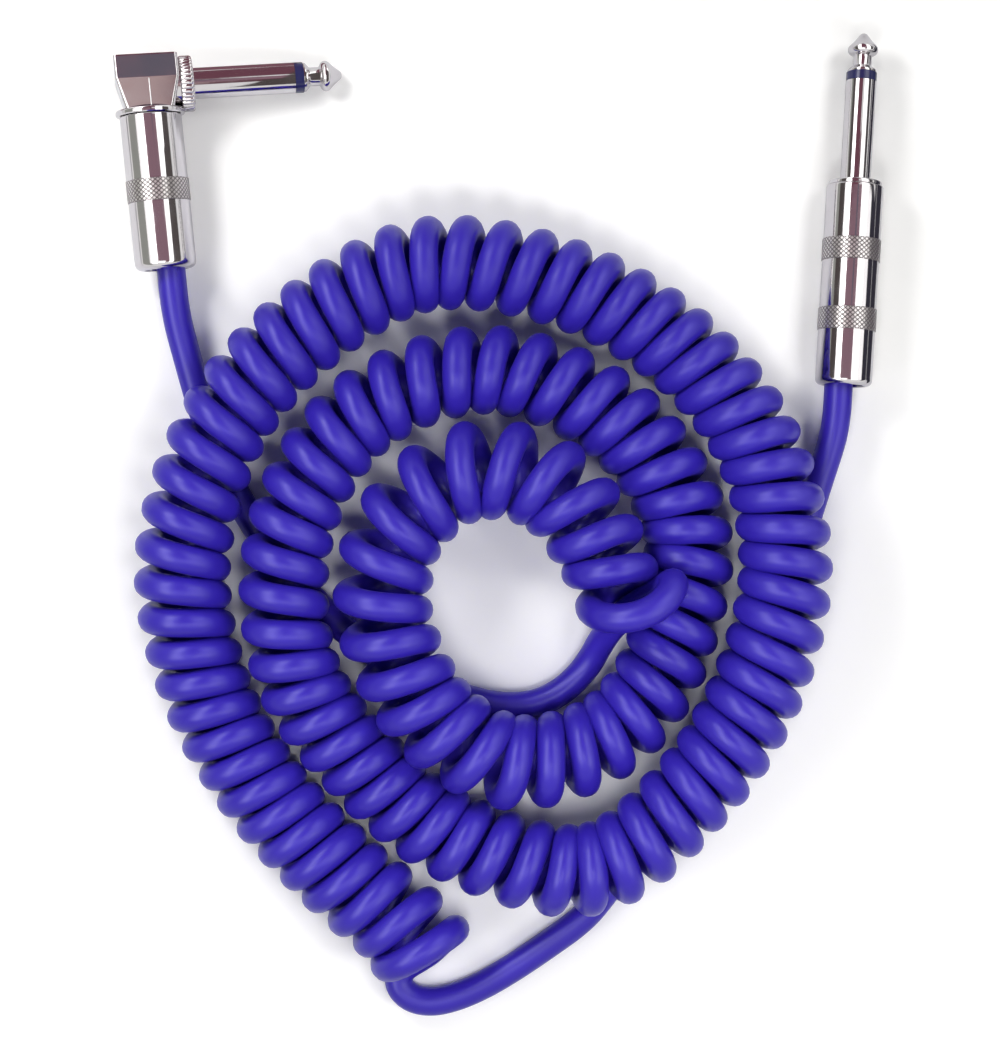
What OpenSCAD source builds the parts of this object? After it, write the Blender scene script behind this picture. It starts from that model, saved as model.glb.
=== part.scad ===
// Curly instrument cable: a straight and a right-angle 6.35 mm plug on one coiled cord.
// It lies on a surface: +Z is up, and the origin is under the middle of the two plugs.

/* [Cord] */
// Diameter of the cord's jacket
cord_d = 5.8; // [4.8:0.1:6]
// Outer diameter of one curl
curl_d = 19.2; // [16:0.2:19.6]
// Number of curls
curls = 80; // [60:1:88]

/* [Shaft, on both plugs] */
// Diameter of the plug's shaft
shaft_d = 6.35; // [5.25:0.05:7.65]
// Length of the shaft's bright sleeve
shaft_l = 21; // [17:0.1:26]
// Length of the insulating ring behind the tip
ring_l = 1.8; // [1:0.1:3]
// Length of the tip
tip_l = 8.2; // [7.2:0.1:10]
// Diameter of the rod that carries the tip
rod_d = 2.4; // [1.8:0.1:2.6]
// Wall of the insulating tube round the rod
tube_wall = 0.6; // [0.4:0.05:0.7]

/* [Straight plug] */
// How far the shoulder stands in from the outside of the barrel
shoulder_in = 0.4; // [0.2:0.1:0.6]
// Thickness of the shoulder
shoulder_t = 1; // [0.6:0.1:2]
// Length of the threaded body behind the shoulder
body_l = 7; // [5.8:0.1:8.4]
// Wall of the barrel
barrel_wall = 0.7; // [0.6:0.05:1.2]
// Length of the barrel
barrel_l = 41.65; // [34.7:0.05:50]

/* [Right-angle plug] */
// Width of the square head
head_w = 12.9; // [12:0.1:15.5]
// Depth of the head's square part
head_l = 4.8; // [4:0.1:8]
// Depth of the head's taper, between the square part and the flange
taper_l = 5.7; // [4.7:0.1:8]
// How far the flange stands out over the barrel that closes on it
flange_lip = 0.75; // [0.4:0.05:1.2]
// Wall of the threaded neck
neck_wall = 1.55; // [1.2:0.05:1.9]
// Length of the threaded neck
neck_l = 6.9; // [5.7:0.1:8.3]
// Diameter of the collar nut
nut_d = 11.4; // [10.6:0.1:12.5]
// Thickness of the collar nut
nut_t = 2.2; // [1.8:0.1:2.8]
// Number of grooves round the collar nut
nut_grooves = 36; // [24:1:48]
// Wall of the barrel
elbow_barrel_wall = 0.75; // [0.6:0.05:1.2]
// Length of the barrel
elbow_barrel_l = 31.65; // [26.4:0.05:38]

/* [Barrels, on both plugs] */
// How far the clamps push the cord off the axis of its plug
cord_offset = 1; // [0.8:0.1:1.2]
// Thickness of the barrel's end wall
end_wall = 1.3; // [1:0.1:2]
// Height of the knurled bands over the barrel
knurl_h = 0.15; // [0.05:0.05:0.3]
// Wall of the insulating liner
liner_wall = 0.3; // [0.2:0.05:0.4]

/* [Inner fittings] */
// Thickness of the lugs and clamps
plate_t = 0.5; // [0.4:0.05:0.6]
// Width of the clamp's strip
strip_w = 3.2; // [2.4:0.1:3.4]
// Diameter of the cord's inner conductor
core_d = 1.6; // [1:0.1:1.8]
// Diameter of the twisted screen
screen_d = 1.3; // [1:0.1:1.4]

/* [Clearances] */
// Room between pieces that are pressed or riveted together
seat = 0.05; // [0.03:0.01:0.1]
// Room between the threads of a barrel and its body
thread_room = 0.08; // [0.05:0.01:0.1]
// Room between a barrel and its liner
liner_room = 0.1; // [0.08:0.01:0.15]
// Room round the cord where it leaves a barrel
exit_room = 0.5; // [0.4:0.05:0.8]
// Room between a clamp and the liner round it
clamp_room = 0.35; // [0.3:0.05:0.6]

/* [Hidden] */
$fn = 64;

// Colours
nickel = "#C6C3C9";
brass = "#BFA161";
navy = "#2F3060";
fibre = "#6B4A32";
clear_film = "#D8D4C4";
jacket = "#4330B5";
core_red = "#A33A34";
copper = "#B5714A";

// Sizes that several pieces share
shaft_r = shaft_d / 2;
rod_r = rod_d / 2;
rod_bore = rod_r + seat;
tube_r = rod_bore + tube_wall;
tube_bore = tube_r + seat;
spigot_r = shaft_r + 0.2;
rivet_r = rod_r + 0.7;
rivet_h = 0.8;
washer_t = 1;
strip_y = cord_d / 2 + seat; // inner face of a clamp's strip, on the cord
lug_r = cord_d / 2 - 0.1;
exit_r = cord_offset + cord_d / 2 + exit_room;
thread_step = 0.07; // a barrel's bore is this much wider than its thread

// The straight plug's barrel fits round the liner, and that round the clamp
barrel_bore = cord_offset + strip_y + plate_t + clamp_room + liner_wall + liner_room;
thread_r = barrel_bore - thread_step;
body_r = thread_r - thread_room;
barrel_d = 2 * (barrel_bore + barrel_wall);
shoulder_r = barrel_d / 2 - shoulder_in;
liner_r = barrel_bore - liner_room;

// The right-angle plug's neck fits round the clamp, and the barrel round the neck
chamber_r = strip_y + plate_t + 0.45;
neck_r = chamber_r + neck_wall;
elbow_thread_r = neck_r + thread_room;
elbow_bore = elbow_thread_r + thread_step;
elbow_barrel_d = 2 * (elbow_bore + elbow_barrel_wall);
elbow_liner_r = elbow_bore - liner_room;
flange_r = elbow_barrel_d / 2 + flange_lip;

// Where the two plugs lie: the straight one by its shoulder, the other by its head
straight_at = [74.5, 6.2, barrel_bore + barrel_wall + knurl_h];
straight_turn = -3.4;
angle_at = [-72.6, 25.2, 10.3];
angle_turn = 5;
angle_pitch = 5;
angle_roll = 11;

// Stations along the straight plug, from its shoulder: behind it they are negative
body_end = -shoulder_t - body_l;
boss_end = body_end - 1;
clamp_back = boss_end - plate_t - 0.3;
washer_back = clamp_back - seat - washer_t;
lug_back = washer_back - seat - plate_t;
rod_back = lug_back - seat - rivet_h;
barrel_front = -shoulder_t - 0.05;
barrel_back = barrel_front - barrel_l;
jacket_end = boss_end - 13;
clamp_from = jacket_end - 2;
clamp_to = clamp_from - 6;

// Stations of the right-angle plug: x runs along its shaft, y away from its barrel
head_top = 5.6;
head_low = head_top - head_l;
taper_end = head_low - taper_l;
flange_t = 1.2;
flange_end = taper_end - flange_t;
neck_end = flange_end - neck_l;
boss_x = max(head_w / 2, flange_r) + 0.1;
shoulder_x = boss_x + nut_t;
spigot_l = 6;
elbow_jacket_end = neck_end - 9;
elbow_clamp_from = elbow_jacket_end - 2;
elbow_clamp_to = elbow_clamp_from - 6;
elbow_washer_back = -spigot_l - 1.2;
elbow_lug_back = elbow_washer_back - seat - plate_t;
elbow_rod_back = elbow_lug_back - seat - rivet_h;
elbow_front = flange_end - 0.05;
elbow_back = elbow_front - elbow_barrel_l;

// The cord's place in each barrel, across its axis
straight_offset = -cord_offset;
angle_offset = cord_offset;

// Middle line of the curls as they lie: x, y, lift over the surface, curls of the
// slack cord so far, the curls' width. The curls climb where a tail runs under them.
ROUTE = [
    [-14.3, -155.2, 0, 0.5, 22], [-17.6, -151, 0, 1.25, 21.6], [-21.3, -147, 0, 2, 20.6],
    [-31.8, -138.4, 0, 4, 20], [-49, -120.1, 0, 8, 19.3], [-61.1, -97.9, 0.5, 12, 19.3],
    [-64.5, -72, 4.5, 16, 19.8], [-55.9, -45, 6.5, 20, 19.4], [-38.6, -24.5, 3, 24, 19.6],
    [-15.2, -11.7, 0, 28, 19.8], [12.6, -15.2, 0, 32, 19.2], [35.9, -27.8, 0.5, 36, 19],
    [52.2, -47.7, 4.5, 40, 18.8], [58.3, -72.7, 6.5, 44, 19.2], [52.9, -97.8, 6.5, 48, 19.6],
    [39.6, -119.4, 6.5, 52, 19], [19, -135.4, 6.5, 56, 19], [-7.7, -130.5, 1.6, 60, 19.2],
    [-28, -115.2, 0.5, 64, 18.6], [-41.8, -94.1, 5, 68, 18.4], [-42.3, -66.3, 6.5, 72, 18.5],
    [-28.3, -42.7, 2.5, 76, 18.8], [-1.6, -33.4, 0, 80, 18.7], [24.8, -44.2, 0, 84, 19.2],
    [38.8, -66.5, 0, 88, 18.9], [34.7, -92.5, 0, 92, 18.6], [23.1, -108.7, 0.5, 95, 18.8],
    [3.6, -114, 4.9, 98, 19.8], [-10.2, -107.6, 6.5, 100, 20.2], [-18.8, -96.5, 6.5, 102, 20.2],
    [-23.6, -81.8, 6, 104, 20.4], [-20.3, -66, 5, 106, 20.4], [-7.5, -55, 4, 108, 20.8],
    [8.9, -56.5, 5, 110, 20.6], [19.5, -68.1, 6, 112, 19.8], [24.4, -79.8, 9, 113.75, 19]
];

// Tail from the straight plug's barrel to the outer curl
STRAIGHT_TAIL = [
    [68.3, -53, 4.5], [66, -61, 3], [62.5, -72, 3], [58.5, -84, 3], [53, -97, 3], [45.5, -110, 3],
    [36, -123, 3], [27.5, -135, 3], [20, -146.5, 3], [12.5, -152.3, 3], [4, -158.2, 3],
    [-4, -162.9, 3], [-10.5, -165.4, 3], [-15.2, -166, 3], [-19, -164.9, 3], [-21.6, -162.6, 3]
];

// Tail from the right-angle plug's barrel, under the curls, to the inner one,
// whose last curl lies open on top of the others
ANGLE_TAIL = [
    [-65.8, -29, 4.2], [-63.6, -37.5, 3.1], [-61, -46, 3], [-56.5, -57, 3], [-50, -68, 3],
    [-41.5, -79, 3], [-31, -89, 3], [-19, -97, 3], [-6, -102.6, 3], [4.5, -104, 3],
    [12.5, -101.3, 3], [18.2, -95.8, 3.4], [20.6, -91.3, 5.4], [22.8, -87.3, 8.8],
    [25.6, -83.9, 12.8], [28.5, -81.5, 16], [31.5, -79.7, 18.8], [34.2, -77.4, 21.6],
    [34.9, -77, 24.3], [34, -79, 27], [31.6, -81.3, 28.7], [28.4, -83, 29.4], [24.5, -83.9, 29.6],
    [20.6, -83.6, 28.4]
];
OPEN_CURL = 15; // points of the tail before its open curl

// ---------------------------------------------------------------- curve functions

function spot(i) = [ROUTE[i][0], ROUTE[i][1], ROUTE[i][2], ROUTE[i][4]];
function span(u, i = 0) = i + 2 >= len(ROUTE) || u < ROUTE[i + 1][3] ? i : span(u, i + 1);
function slope(i) = let (a = max(i - 1, 0), b = min(i + 1, len(ROUTE) - 1))
    (spot(b) - spot(a)) / (ROUTE[b][3] - ROUTE[a][3]);

// Middle line of the curls and their width, at u curls of the slack cord
function middle(u) = let (i = span(u), d = ROUTE[i + 1][3] - ROUTE[i][3], t = (u - ROUTE[i][3]) / d)
    (2 * t^3 - 3 * t^2 + 1) * spot(i) + (t^3 - 2 * t^2 + t) * d * slope(i)
    + (3 * t^2 - 2 * t^3) * spot(i + 1) + (t^3 - t^2) * d * slope(i + 1);

// Point of the cord's centreline, for w from 0 to 1 over all the curls
lie = 0.2; // room between the surface and the lowest curls
first_u = ROUTE[0][3];
last_u = ROUTE[len(ROUTE) - 1][3];
function curl_point(w) = let (
        u = first_u + w * (last_u - first_u), c = middle(u),
        f = middle(u + 0.02) - middle(u - 0.02), n = [-f[1], f[0]] / norm([f[0], f[1]]),
        width = c[3] * curl_d / 19.2, r = (width - cord_d) / 2, a = -90 - 360 * (curls + 0.25) * w)
    [c[0] + r * cos(a) * n[0], c[1] + r * cos(a) * n[1], width / 2 + lie + c[2] + r * sin(a)];

// The last quarter of a curl more rises to meet the tail
function curl_line(per_curl) = let (n = (curls + 0.25) * per_curl) [for (i = [0:n]) curl_point(i / n)];

function unit(v) = v / norm(v);
function heading(p, i) = unit(p[min(i + 1, len(p) - 1)] - p[max(i - 1, 0)]);
function squared(v, t) = unit(v - (v * t) * t);

// Rings of points swept along a line, carried from one to the next without a twist
function rings(p, r, sides) = [
    for (i = 0, v = squared([0.02, 0.01, 1], heading(p, 0)); i < len(p);
         i = i + 1, v = i < len(p) ? squared(v, heading(p, i)) : v)
        let (t = heading(p, i), w = cross(t, v))
        for (k = [0:sides - 1]) p[i] + r * (cos(360 * k / sides) * v + sin(360 * k / sides) * w)
];

function tube_faces(n, sides) = concat(
    [for (i = [0:n - 2], k = [0:sides - 1]) let (a = i * sides + k, b = i * sides + (k + 1) % sides)
        [a, a + sides, b]],
    [for (i = [0:n - 2], k = [0:sides - 1]) let (a = i * sides + k, b = i * sides + (k + 1) % sides)
        [b, a + sides, b + sides]],
    [for (k = [1:sides - 2]) [0, k, k + 1]],
    [for (k = [1:sides - 2]) let (e = (n - 1) * sides) [e, e + k + 1, e + k]]);

module swept_tube(p, r, sides)
    polyhedron(rings(p, r, sides), tube_faces(len(p), sides), convexity = 10);

// A rounder line through chosen points: one point more on each stretch from number `from` on,
// but not on the last, which stays straight
function between(a, b, c, d) = (9 * (b + c) - a - d) / 16;
function rounder(p, from) = [
    for (i = [0:len(p) - 1]) each i < from || i + 2 >= len(p) ? [p[i]]
        : [p[i], between(p[max(i - 1, 0)], p[i], p[i + 1], p[min(i + 2, len(p) - 1)])]
];

// Least gap of the curls to themselves, from points twelve to the curl
function least_gap() = let (p = curl_line(12), n = len(p))
    min([for (i = [0:n - 8]) min([for (j = [i + 7:n - 1]) norm(p[i] - p[j])])]) - cord_d;

// Points of a circular arc, for turned outlines
function arc(c, r, a0, a1, n = 8) =
    [for (i = [0:n]) let (a = a0 + (a1 - a0) * i / n) [c[0] + r * cos(a), c[1] + r * sin(a)]];

// A square outline with round corners
function round_square(w, r, n = 5) = let (h = w / 2 - r) concat(
    arc([h, h], r, 0, 90, n), arc([-h, h], r, 90, 180, n),
    arc([-h, -h], r, 180, 270, n), arc([h, -h], r, 270, 360, n));

// ---------------------------------------------------------------- where things lie

module straight_pose()
    translate(straight_at) rotate([0, 0, straight_turn]) rotate([-90, 0, 0]) children();

module angle_pose()
    translate(angle_at) rotate([0, 0, angle_turn]) rotate([angle_pitch, 0, 0])
        rotate([0, angle_roll, 0]) children();

// The right-angle plug's shaft: z runs along it from the collar nut's face
module angle_shaft_pose() angle_pose() translate([shoulder_x, 0, 0]) rotate([0, 90, 0]) children();

// The right-angle plug's barrel: z runs along it, away from the cord
module angle_barrel_pose() angle_pose() rotate([-90, 0, 0]) children();

function turned(a, v) = [v[0] * cos(a) - v[1] * sin(a), v[0] * sin(a) + v[1] * cos(a), v[2]];
function straight_point(x, z) = straight_at + turned(straight_turn, [x, z, 0]);
function angle_point(x, y) = let (
        v = [x * cos(angle_roll), y, -x * sin(angle_roll)],
        w = [v[0], v[1] * cos(angle_pitch) - v[2] * sin(angle_pitch),
             v[1] * sin(angle_pitch) + v[2] * cos(angle_pitch)])
    angle_at + turned(angle_turn, w);

// The cord leaves the curls straight for one diameter: flat at the outer end, upwards
// at the inner one
curl_in = let (d = curl_point(1 / curls / 8) - curl_point(0)) unit([d[0], d[1], 0]);
curl_out = [0, 0, 1];
curls_from = curl_point(0) - cord_d * curl_in;
curls_to = curl_point(1) + cord_d * curl_out;

straight_line = rounder(concat(
    [straight_point(straight_offset, jacket_end),
     straight_point(straight_offset, barrel_back),
     straight_point(straight_offset, barrel_back - 8.8)],
    STRAIGHT_TAIL, [curls_from - 3 * curl_in, curls_from]), 2);

angle_line = rounder(concat(
    [angle_point(angle_offset, elbow_jacket_end),
     angle_point(angle_offset, elbow_back),
     angle_point(angle_offset, elbow_back - 9)],
    ANGLE_TAIL, [curls_to + 1.5 * curl_out, curls_to]), OPEN_CURL);

// ---------------------------------------------------------------- shared shapes

// Tip: a groove for the socket's spring behind a bulb, a cone and a small round nose
module tip_shape() {
    r = shaft_r;
    translate([0, 0, shaft_l + ring_l]) rotate_extrude() polygon(concat(
        [[0, 1.4], [rod_bore, 1.4], [rod_bore, 0], [r - 0.175, 0], [r - 0.175, 0.5],
         [r - 0.975, 1.2], [r - 1.225, 1.4], [r - 1.225, 3.4]],
        arc([r - 1.175, 4.75], 1.15, -75, 50, 10),
        [[0.75, tip_l - 0.22]], [[0.5, tip_l - 0.08]], [[0, tip_l]]));
}

module ring_shape()
    translate([0, 0, shaft_l + 0.02]) difference() {
        cylinder(h = ring_l - 0.04, r = shaft_r);
        translate([0, 0, -1]) cylinder(h = ring_l + 2, r = rod_bore);
    }

// Insulating tube, from its rear end to the front of the bright sleeve
module inner_tube_shape(back)
    translate([0, 0, back]) difference() {
        cylinder(h = shaft_l - back, r = tube_r);
        translate([0, 0, -1]) cylinder(h = shaft_l - back + 2, r = rod_bore);
    }

// Rod with its riveted head, which draws the tip, ring, washer and lug together
module rod_shape(back) {
    translate([0, 0, back + rivet_h]) cylinder(h = shaft_l + ring_l + 1.35 - back - rivet_h, r = rod_r);
    translate([0, 0, back]) rotate_extrude() polygon(concat(
        [[0, rivet_h], [0, 0]], arc([rivet_r - 0.3, 0.3], 0.3, -90, 0, 4), [[rivet_r, rivet_h]]));
}

module washer_shape(back, t, r)
    translate([0, 0, back]) difference() {
        cylinder(h = t, r = r);
        translate([0, 0, -1]) cylinder(h = t + 2, r = rod_bore);
    }

// Crimped loop of a clamp round the cord, open where its two claws meet
module clamp_loop(from, to, side)
    translate([side, 0, to]) difference() {
        cylinder(h = from - to, r = strip_y + plate_t);
        translate([0, 0, -1]) cylinder(h = from - to + 2, r = strip_y);
        translate([-0.7, -cord_d, -1]) cube([1.4, cord_d, from - to + 2]);
    }

// Barrel, turned in one piece: a threaded mouth, a smooth bore and a rounded end.
// bands gives each knurled band's start and end behind the mouth.
module barrel_shape(front, l, d, mouth_r, mouth_l, bore_r, round_r, bands)
    translate([0, 0, front]) rotate_extrude() polygon(concat(
        [[mouth_r + 0.2, 0], [d / 2 - 0.25, 0], [d / 2, -0.25]],
        [for (b = bands) each [[d / 2, -b[0]], [d / 2 + knurl_h, -b[0] - 0.2],
                               [d / 2 + knurl_h, -b[1] + 0.2], [d / 2, -b[1]]]],
        arc([d / 2 - round_r, -l + round_r], round_r, 0, -90, 8),
        [[exit_r, -l], [exit_r, -l + end_wall], [bore_r, -l + end_wall],
         [bore_r, -mouth_l], [mouth_r, -mouth_l + 0.1], [mouth_r, -0.2]]));

module liner_shape(from, to, r)
    translate([0, 0, to]) difference() {
        cylinder(h = from - to, r = r);
        translate([0, 0, -1]) cylinder(h = from - to + 2, r = r - liner_wall);
    }

// ---------------------------------------------------------------- straight plug

module straight_tip() color(nickel) straight_pose() tip_shape();

module straight_tip_ring() color(navy) straight_pose() ring_shape();

module straight_sleeve() color(nickel) straight_pose() difference() {
    union() {
        cylinder(h = shaft_l, r = shaft_r);
        rotate_extrude() polygon(concat(
            [[0, 0.01]], arc([shoulder_r - 0.4, -0.4], 0.4, 90, 0, 5),
            [[shoulder_r, -shoulder_t + 0.15], [shoulder_r - 0.15, -shoulder_t],
             [body_r - 0.3, -shoulder_t], [body_r - 0.3, -shoulder_t - 0.6],
             [body_r, -shoulder_t - 0.9], [body_r, body_end + 0.4],
             [body_r - 0.4, body_end], [tube_r + 1.75, body_end], [tube_r + 1.75, boss_end],
             [0, boss_end]]));
    }
    translate([0, 0, boss_end - 1]) cylinder(h = shaft_l - boss_end + 2, r = tube_bore);
}

module straight_inner_tube() color(navy) straight_pose() inner_tube_shape(clamp_back);

module straight_tip_rod() color(brass) straight_pose() rod_shape(rod_back);

module straight_rear_washer() color(fibre) straight_pose() washer_shape(washer_back, washer_t, strip_y - 2 * seat);

module straight_tip_lug() color(brass) straight_pose() difference() {
    union() {
        translate([0, 0, lug_back]) cylinder(h = plate_t, r = lug_r);
        translate([-1.1, -lug_r, lug_back - 5.6]) cube([2.2, plate_t, 5.6 + plate_t]);
    }
    translate([0, 0, lug_back - 1]) cylinder(h = 3, r = rod_bore);
    translate([0, 0, lug_back - 4.4]) rotate([90, 0, 0]) cylinder(h = 6, r = 0.5);
}

module straight_cable_clamp() color(nickel) straight_pose() {
    difference() {
        union() {
            translate([0, 0, clamp_back]) cylinder(h = boss_end - seat - clamp_back, r = liner_r - liner_wall - 0.6);
            translate([straight_offset - strip_w / 2, strip_y, clamp_to - 1])
                cube([strip_w, plate_t, boss_end - seat - clamp_to + 1]);
        }
        translate([0, 0, clamp_back - 1]) cylinder(h = 4, r = tube_bore);
    }
    clamp_loop(clamp_from, clamp_to, straight_offset);
}

module straight_insulating_liner() color(clear_film) straight_pose()
    liner_shape(boss_end - 0.3, barrel_back + end_wall + 0.5, liner_r);

module straight_barrel() color(nickel) straight_pose()
    barrel_shape(barrel_front, barrel_l, barrel_d, thread_r, body_l + 0.6, barrel_bore, 1.2,
                 [[11.15, 15.75], [25.55, 30.25]]);

module straight_core_wire() color(core_red) straight_pose()
    let (y = -lug_r + plate_t + core_d / 2 + 0.1, e = jacket_end)
    swept_tube([[straight_offset, y + 0.8, e + 0.02], [straight_offset, y + 0.8, e + 0.8],
                [straight_offset, y + 0.7, e + 1.6], [straight_offset / 2, y + 0.25, e + 2.8],
                [0, y + 0.1, e + 4.2], [0, y, e + 7.8]], core_d / 2, 8);

module straight_screen_wire() color(copper) straight_pose()
    let (y = strip_y - screen_d / 2 - 0.1, e = jacket_end)
    swept_tube([[straight_offset, y - 0.6, e + 0.02], [straight_offset, y - 0.6, e + 0.6],
                [straight_offset, y - 0.45, e + 1.4], [straight_offset, y - 0.1, e + 2.8],
                [straight_offset, y, e + 4.4], [straight_offset, y, e + 9]], screen_d / 2, 8);

// ---------------------------------------------------------------- right-angle plug

module angle_tip() color(nickel) angle_shaft_pose() tip_shape();

module angle_tip_ring() color(navy) angle_shaft_pose() ring_shape();

module angle_sleeve() color(nickel) angle_shaft_pose() difference() {
    union() {
        cylinder(h = shaft_l, r = shaft_r);
        translate([0, 0, -spigot_l]) cylinder(h = spigot_l + 0.01, r = spigot_r);
    }
    translate([0, 0, -spigot_l - 1]) cylinder(h = shaft_l + spigot_l + 2, r = tube_bore);
}

module angle_inner_tube() color(navy) angle_shaft_pose() inner_tube_shape(-spigot_l);

module angle_tip_rod() color(brass) angle_shaft_pose() rod_shape(elbow_rod_back);

// Thin nut with a milled edge, which locks the shaft in the head
module angle_collar_nut() color(nickel) angle_shaft_pose() difference() {
    translate([0, 0, -nut_t + seat]) rotate_extrude() polygon(concat(
        [[spigot_r + seat, 0], [nut_d / 2 - 0.3, 0], [nut_d / 2, 0.3]],
        arc([nut_d / 2 - 0.6, nut_t - seat - 0.6], 0.6, 0, 90, 5),
        [[spigot_r + seat, nut_t - seat]]));
    for (k = [0:nut_grooves - 1]) rotate([0, 0, 360 * k / nut_grooves])
        translate([nut_d / 2 + 0.1, 0, -nut_t - 1]) cylinder(h = nut_t + 2, r = 0.32);
}

// Head: a square block, a taper with flat sides, the flange and the threaded neck,
// with one chamber inside that the shaft's bore and the cord's bore open into
module angle_head() color(nickel) angle_barrel_pose() difference() {
    union() {
        translate([0, 0, head_low]) linear_extrude(head_l - 0.5) polygon(round_square(head_w, 0.6));
        hull() {
            translate([0, 0, head_top - 0.5]) linear_extrude(0.01) polygon(round_square(head_w, 0.6, 3));
            translate([0, 0, head_top - 0.01]) linear_extrude(0.01) polygon(round_square(head_w - 1, 0.4, 3));
        }
        hull() {
            translate([0, 0, head_low - 0.01]) linear_extrude(0.01) polygon(round_square(head_w, 0.6, 3));
            translate([0, 0, taper_end]) linear_extrude(0.01) polygon(round_square(head_w - 2.7, 0.9, 3));
        }
        translate([0, 0, flange_end]) rotate_extrude() polygon(concat(
            [[0, 0], [flange_r - 0.2, 0], [flange_r, 0.2]],
            arc([flange_r - 0.4, flange_t - 0.4], 0.4, 0, 90, 4), [[0, flange_t]]));
        translate([0, 0, neck_end]) rotate_extrude() polygon(
            [[0, 0], [neck_r - 0.4, 0], [neck_r, 0.4], [neck_r, neck_l - 0.9],
             [neck_r - 0.3, neck_l - 0.6], [neck_r - 0.3, neck_l + 0.1], [0, neck_l + 0.1]]);
        rotate([0, 90, 0]) cylinder(h = boss_x, r = spigot_r + 1.2);
    }
    translate([0, 0, neck_end - 1]) cylinder(h = 2.5 - neck_end + 1, r = chamber_r);
    translate([-0.4, 0, 0]) rotate([0, 90, 0]) cylinder(h = boss_x + 1, r = spigot_r + seat);
}

module angle_rear_washer() color(fibre) angle_shaft_pose()
    washer_shape(elbow_washer_back, 1.2 - seat, shaft_r - 0.175);

// Lug on the rod's rear end, with a long strip down the neck to the cord
module angle_tip_lug() color(brass) angle_shaft_pose() difference() {
    union() {
        translate([0, 0, elbow_lug_back]) cylinder(h = plate_t, r = shaft_r - 0.575);
        translate([-1.2, neck_end - 4.6, elbow_lug_back]) cube([2.4, 4.6 - neck_end, plate_t]);
    }
    translate([0, 0, elbow_lug_back - 1]) cylinder(h = 3, r = rod_bore);
    translate([0, neck_end - 3.4, elbow_lug_back - 1]) cylinder(h = 3, r = 0.5);
}

module angle_cable_clamp() color(nickel) angle_barrel_pose() {
    translate([-strip_w / 2, strip_y, elbow_clamp_to - 1])
        cube([strip_w, plate_t, neck_end + 5 - elbow_clamp_to]);
    translate([angle_offset - strip_w / 2, strip_y, elbow_clamp_to - 1])
        cube([strip_w, plate_t, elbow_clamp_from + 2 - elbow_clamp_to]);
    clamp_loop(elbow_clamp_from, elbow_clamp_to, angle_offset);
}

module angle_insulating_liner() color(clear_film) angle_barrel_pose()
    liner_shape(neck_end - 0.5, elbow_back + end_wall + 0.3, elbow_liner_r);

module angle_barrel() color(nickel) angle_barrel_pose()
    barrel_shape(elbow_front, elbow_barrel_l, elbow_barrel_d, elbow_thread_r, neck_l + 0.6,
                 elbow_bore, 1.5, [[13.15, 17.75]]);

module angle_core_wire() color(core_red) angle_barrel_pose()
    let (x = angle_offset, e = elbow_jacket_end)
    swept_tube([[x, -0.8, e + 0.02], [x, -0.8, e + 0.8], [x - 0.05, -0.75, e + 1.6],
                [x - 0.3, -0.5, e + 3], [x - 0.5, -0.3, e + 4.6], [x - 0.5, -0.2, e + 8]],
               core_d / 2, 8);

module angle_screen_wire() color(copper) angle_barrel_pose()
    let (x = angle_offset, y = strip_y - screen_d / 2 - 0.1, e = elbow_jacket_end)
    swept_tube([[x, y - 0.6, e + 0.02], [x, y - 0.6, e + 0.6], [x - 0.05, y - 0.45, e + 1.4],
                [x - 0.4, y - 0.1, e + 3], [x - 0.7, y, e + 4.6], [x - 1, y, e + 11]],
               screen_d / 2, 8);

// ---------------------------------------------------------------- cord

// The curls: one unbroken tube wound round the middle line, eight rings to the curl
module cord_curls() {
    echo(least_gap_of_curls = least_gap());
    color(jacket) swept_tube(concat([curls_from], curl_line(8), [curls_to]), cord_d / 2, 6);
}

module straight_tail() color(jacket) swept_tube(straight_line, cord_d / 2, 10);

module angle_tail() color(jacket) swept_tube(angle_line, cord_d / 2, 10);

// ---------------------------------------------------------------- parts

straight_tip();
straight_tip_ring();
straight_sleeve();
straight_inner_tube();
straight_tip_rod();
straight_rear_washer();
straight_tip_lug();
straight_cable_clamp();
straight_insulating_liner();
straight_barrel();
straight_core_wire();
straight_screen_wire();
angle_tip();
angle_tip_ring();
angle_sleeve();
angle_inner_tube();
angle_tip_rod();
angle_collar_nut();
angle_head();
angle_rear_washer();
angle_tip_lug();
angle_cable_clamp();
angle_insulating_liner();
angle_barrel();
angle_core_wire();
angle_screen_wire();
cord_curls();
straight_tail();
angle_tail();
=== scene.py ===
"""Looks of a curly instrument cable: two 6.35 mm plugs on one coiled cord."""

import logging
import math
from collections.abc import Callable, Sequence
from dataclasses import dataclass, field
from enum import Enum

import bpy
from mathutils import Matrix, Vector


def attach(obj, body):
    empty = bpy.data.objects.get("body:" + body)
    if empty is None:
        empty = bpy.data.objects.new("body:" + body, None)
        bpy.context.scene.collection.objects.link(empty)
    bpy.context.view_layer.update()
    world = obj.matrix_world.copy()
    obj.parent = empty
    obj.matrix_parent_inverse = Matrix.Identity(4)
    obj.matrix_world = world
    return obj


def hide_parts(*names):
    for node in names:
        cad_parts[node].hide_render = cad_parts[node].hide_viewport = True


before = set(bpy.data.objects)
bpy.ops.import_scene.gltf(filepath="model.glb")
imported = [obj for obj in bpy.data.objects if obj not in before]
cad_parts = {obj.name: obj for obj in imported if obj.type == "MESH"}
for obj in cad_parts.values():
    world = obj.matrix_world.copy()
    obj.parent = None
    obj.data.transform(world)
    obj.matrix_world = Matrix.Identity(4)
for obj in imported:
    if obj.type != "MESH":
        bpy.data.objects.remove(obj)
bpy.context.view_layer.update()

log = logging.getLogger("cable")
MM = 0.001  # sizes are kept in millimetres, and Blender works in metres
Outline = list[tuple[float, float]]


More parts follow.
